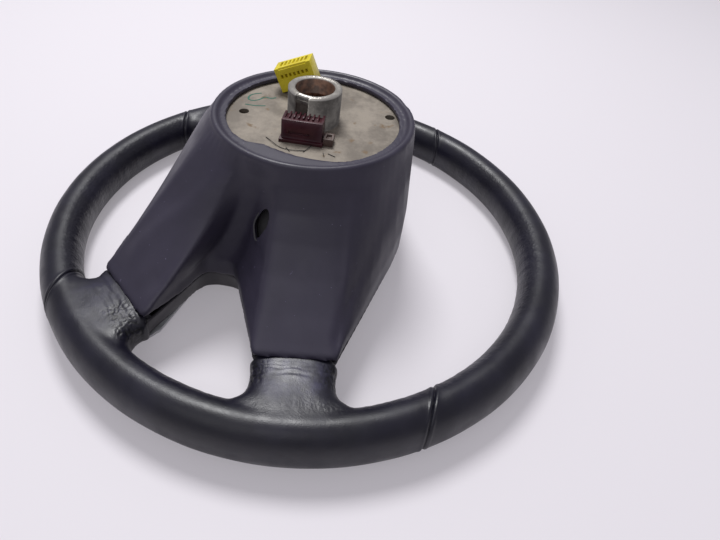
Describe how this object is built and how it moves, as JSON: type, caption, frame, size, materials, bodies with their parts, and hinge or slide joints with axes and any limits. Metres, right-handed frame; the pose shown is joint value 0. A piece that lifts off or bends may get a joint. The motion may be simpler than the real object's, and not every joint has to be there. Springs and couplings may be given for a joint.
{
  "type": "car steering wheel",
  "caption": "Leather-rimmed car steering wheel with side and lower spokes, a one-piece rear cover, a splined hub boss and a horn pad that travels on springs.",
  "frame": {"origin": "on the steering axis, in the plane of the rim's front, on which the wheel lies", "axes": "+Z along the steering axis towards the column, +Y to 12 o'clock, +X to the right-hand side spoke as seen in the picture's foreground"},
  "size_m": [0.37, 0.37, 0.1335],
  "materials": {
    "cast": "as-cast, stained",
    "boss_steel": "machined, worn, rusty in the bore",
    "foam": "moulded foam",
    "leather": "smooth black leather, softly worn",
    "cover_plastic": "fine grained charcoal plastic",
    "bezel_plastic": "fine grained black plastic",
    "silver_trim": "silver lacquer",
    "red_plastic": "dark red connector plastic",
    "brown_plastic": "brown plastic",
    "yellow_plastic": "yellow connector plastic",
    "lead_cover": "yellow lead sleeve",
    "steel": "plated steel",
    "cushion": "folded woven cushion",
    "bush_plastic": "natural plastic",
    "contact": "brass"
  },
  "bodies": {
    "wheel": {"armature": "cast", "rim_foam": "foam", "leather_top": "leather", "leather_bottom": "leather", "leather_left": "leather", "leather_right": "leather", "rear_cover": "cover_plastic", "cover_screws": "steel", "front_bezel": "bezel_plastic", "trim_left": "silver_trim", "trim_right": "silver_trim", "hub_boss": "boss_steel", "switch_connector": "red_plastic", "connector_latch": "brown_plastic", "airbag_connector": "yellow_plastic", "connector_lead": "lead_cover", "guide_bushes": "bush_plastic", "horn_springs": "steel", "horn_contacts": "contact", "pin_clip": "steel"},
    "airbag_unit": {"horn_pad": "bezel_plastic", "airbag_can": "steel", "airbag_cushion": "cushion", "inflator": "steel", "guide_pins": "steel"}
  },
  "joints": [
    {"name": "horn_press", "type": "slide", "parent": "wheel", "child": "airbag_unit", "axis": [0, 0, 1], "range_m": [0, 0.0018], "stiffness_N_per_m": 6000, "springref_m": -0.003, "deforming": ["horn_springs"]}
  ]
}
